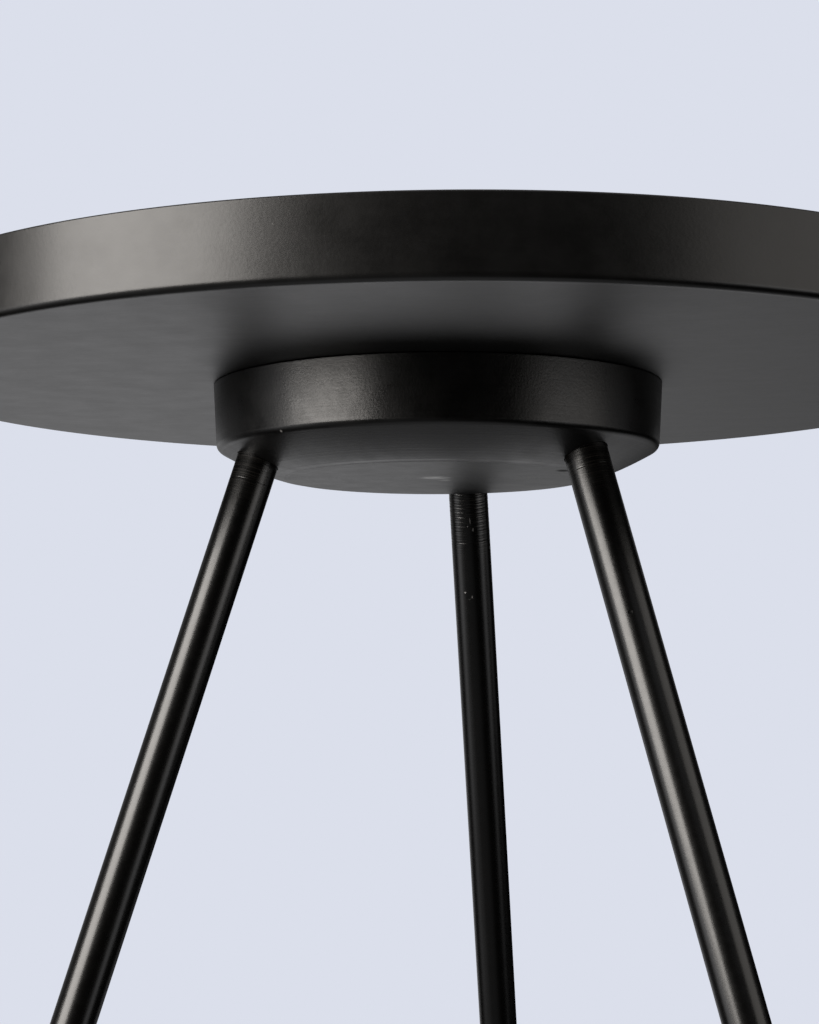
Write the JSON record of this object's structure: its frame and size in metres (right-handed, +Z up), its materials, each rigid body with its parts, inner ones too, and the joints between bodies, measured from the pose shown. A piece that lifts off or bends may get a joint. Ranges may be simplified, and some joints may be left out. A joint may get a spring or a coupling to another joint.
{
  "type": "tripod side table",
  "caption": "Round side table with a deep-edged black top, a turned hub below it and slim splayed tube legs that screw into slanted sockets in the hub.",
  "frame": {"origin": "the point on the floor straight below the centre of the top", "axes": "+Z up along the centre line of the top and hub; +Y towards the foot of leg 1; legs 2 and 3 stand 120 degrees to each side of it"},
  "size_m": [0.5, 0.5, 0.5],
  "materials": {
    "top_lacquer": "satin black lacquer over wood, faint straight grain",
    "hub_lacquer": "satin black lacquer over turned wood, faint turning lines",
    "leg_paint": "semi-gloss black paint on steel tube",
    "plain_steel": "plain turned and rolled steel, slightly oiled",
    "zinc_plating": "bright zinc plating",
    "glide_plastic": "fine-textured black polyethylene"
  },
  "bodies": {
    "root": {"table_top": "top_lacquer", "hub": "hub_lacquer", "mounting_plate": "plain_steel", "plate_screw_1": "zinc_plating", "plate_screw_2": "zinc_plating", "plate_screw_3": "zinc_plating", "plate_screw_4": "zinc_plating", "plate_screw_5": "zinc_plating", "plate_screw_6": "zinc_plating", "threaded_boss_1": "plain_steel", "threaded_boss_2": "plain_steel", "threaded_boss_3": "plain_steel"},
    "leg_1_washer_body": {"leg_1_washer": "zinc_plating"},
    "leg_1": {"leg_1_tube": "leg_paint", "leg_1_plug": "plain_steel", "leg_1_stud": "zinc_plating", "leg_1_glide": "glide_plastic"},
    "leg_2_washer_body": {"leg_2_washer": "zinc_plating"},
    "leg_2": {"leg_2_tube": "leg_paint", "leg_2_plug": "plain_steel", "leg_2_stud": "zinc_plating", "leg_2_glide": "glide_plastic"},
    "leg_3_washer_body": {"leg_3_washer": "zinc_plating"},
    "leg_3": {"leg_3_tube": "leg_paint", "leg_3_plug": "plain_steel", "leg_3_stud": "zinc_plating", "leg_3_glide": "glide_plastic"}
  },
  "joints": [
    {"name": "leg_1_travel", "type": "slide", "parent": "root", "child": "leg_1_washer_body", "axis": [0, 0.3107, -0.9505], "range_m": [0, 0.015]},
    {"name": "leg_1_turn", "type": "hinge", "parent": "leg_1_washer_body", "child": "leg_1", "pos_m": [0, 0.0815, 0.439], "axis": [0, 0.3107, -0.9505], "range_deg": [0, 4320]},
    {"name": "leg_2_travel", "type": "slide", "parent": "root", "child": "leg_2_washer_body", "axis": [-0.2691, -0.1553, -0.9505], "range_m": [0, 0.015]},
    {"name": "leg_2_turn", "type": "hinge", "parent": "leg_2_washer_body", "child": "leg_2", "pos_m": [-0.07058, -0.04075, 0.439], "axis": [-0.2691, -0.1553, -0.9505], "range_deg": [0, 4320]},
    {"name": "leg_3_travel", "type": "slide", "parent": "root", "child": "leg_3_washer_body", "axis": [0.2691, -0.1553, -0.9505], "range_m": [0, 0.015]},
    {"name": "leg_3_turn", "type": "hinge", "parent": "leg_3_washer_body", "child": "leg_3", "pos_m": [0.07058, -0.04075, 0.439], "axis": [0.2691, -0.1553, -0.9505], "range_deg": [0, 4320]}
  ],
  "couplings": [
    {"joint": "leg_1_travel", "follows": "leg_1_turn", "m_per_rad": 0.00019894},
    {"joint": "leg_2_travel", "follows": "leg_2_turn", "m_per_rad": 0.00019894},
    {"joint": "leg_3_travel", "follows": "leg_3_turn", "m_per_rad": 0.00019894}
  ]
}
